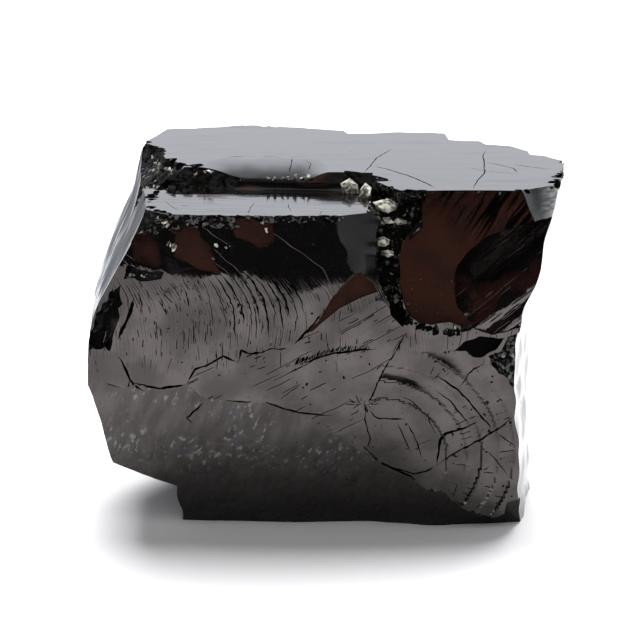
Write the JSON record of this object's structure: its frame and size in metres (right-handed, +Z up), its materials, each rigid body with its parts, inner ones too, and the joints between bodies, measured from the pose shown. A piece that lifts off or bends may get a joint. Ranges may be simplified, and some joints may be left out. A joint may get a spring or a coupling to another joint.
{
  "type": "shungite stone",
  "caption": "Glossy black lump of natural glassy carbon with a stepped flat top, curved broken front and rippled shell-like scars, resting on a flat broken base.",
  "frame": {"origin": "middle of the bounding box in X and Y, at the flat base the stone rests on", "axes": "+Z up, +X across the broad front to the right, +Y towards the back, so the broad curved front looks along -Y"},
  "size_m": [0.047, 0.0322, 0.0345],
  "materials": {
    "glassy_carbon": "glossy black, like broken glass"
  },
  "bodies": {
    "root": {"shungite": "glassy_carbon"}
  },
  "joints": []
}
